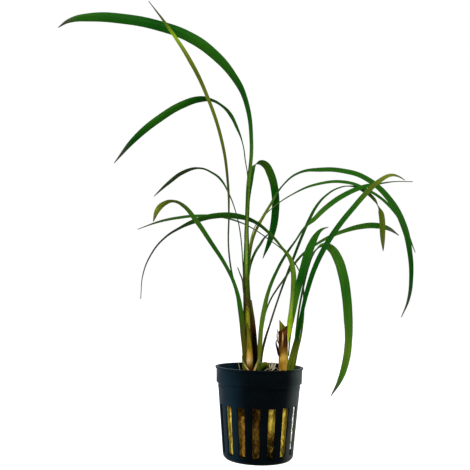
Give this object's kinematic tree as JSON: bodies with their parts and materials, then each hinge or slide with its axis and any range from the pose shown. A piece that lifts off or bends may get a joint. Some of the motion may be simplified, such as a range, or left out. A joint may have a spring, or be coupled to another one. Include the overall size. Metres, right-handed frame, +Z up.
{
  "type": "potted mondo grass",
  "caption": "Grass-like plant with long narrow arching leaves in two tufts, rooted in a fibre plug in a small round slotted black net pot.",
  "frame": {"origin": "centre of the flat underside of the pot", "axes": "+Z up along the pot's axis, -Y to the front of the plant, +X to the right as seen from the front"},
  "size_m": [0.2302, 0.0602, 0.2692],
  "materials": {
    "black_plastic": "satin moulded black plastic with a cold sheen",
    "rock_wool": "matted yellow-brown mineral fibre",
    "root_crown": "pale fibrous root tissue",
    "green_leaf": "satin mid green leaf with lengthwise veins",
    "dark_leaf": "satin dark green leaf with lengthwise veins",
    "light_leaf": "satin light green leaf with lengthwise veins",
    "olive_leaf": "satin olive leaf with lengthwise veins",
    "dry_sheath": "dry papery tan leaf sheath",
    "brown_sheath": "dry torn dark brown leaf sheath"
  },
  "bodies": {
    "root": {"net_pot": "black_plastic", "rock_wool_plug": "rock_wool", "left_crown": "root_crown", "right_crown": "root_crown", "tall_left_blade": "green_leaf", "upright_olive_blade": "olive_leaf", "upper_left_blade": "green_leaf", "middle_left_blade": "dark_leaf", "low_left_blade": "olive_leaf", "withered_tip_blade": "brown_sheath", "long_right_blade": "green_leaf", "slender_right_blade": "green_leaf", "looped_blade": "dark_leaf", "short_back_blade": "dark_leaf", "centre_shoot_blade": "light_leaf", "hooked_right_blade": "olive_leaf", "level_right_blade": "green_leaf", "bright_sheathed_blade": "light_leaf", "crossing_left_blade": "dark_leaf", "broad_short_blade": "dark_leaf", "long_dark_blade": "dark_leaf", "broad_drooping_blade": "green_leaf", "left_tan_sheath": "dry_sheath", "left_dark_sheath": "brown_sheath", "brown_stub_sheath": "brown_sheath", "old_leaf_stub": "dry_sheath"}
  },
  "joints": []
}
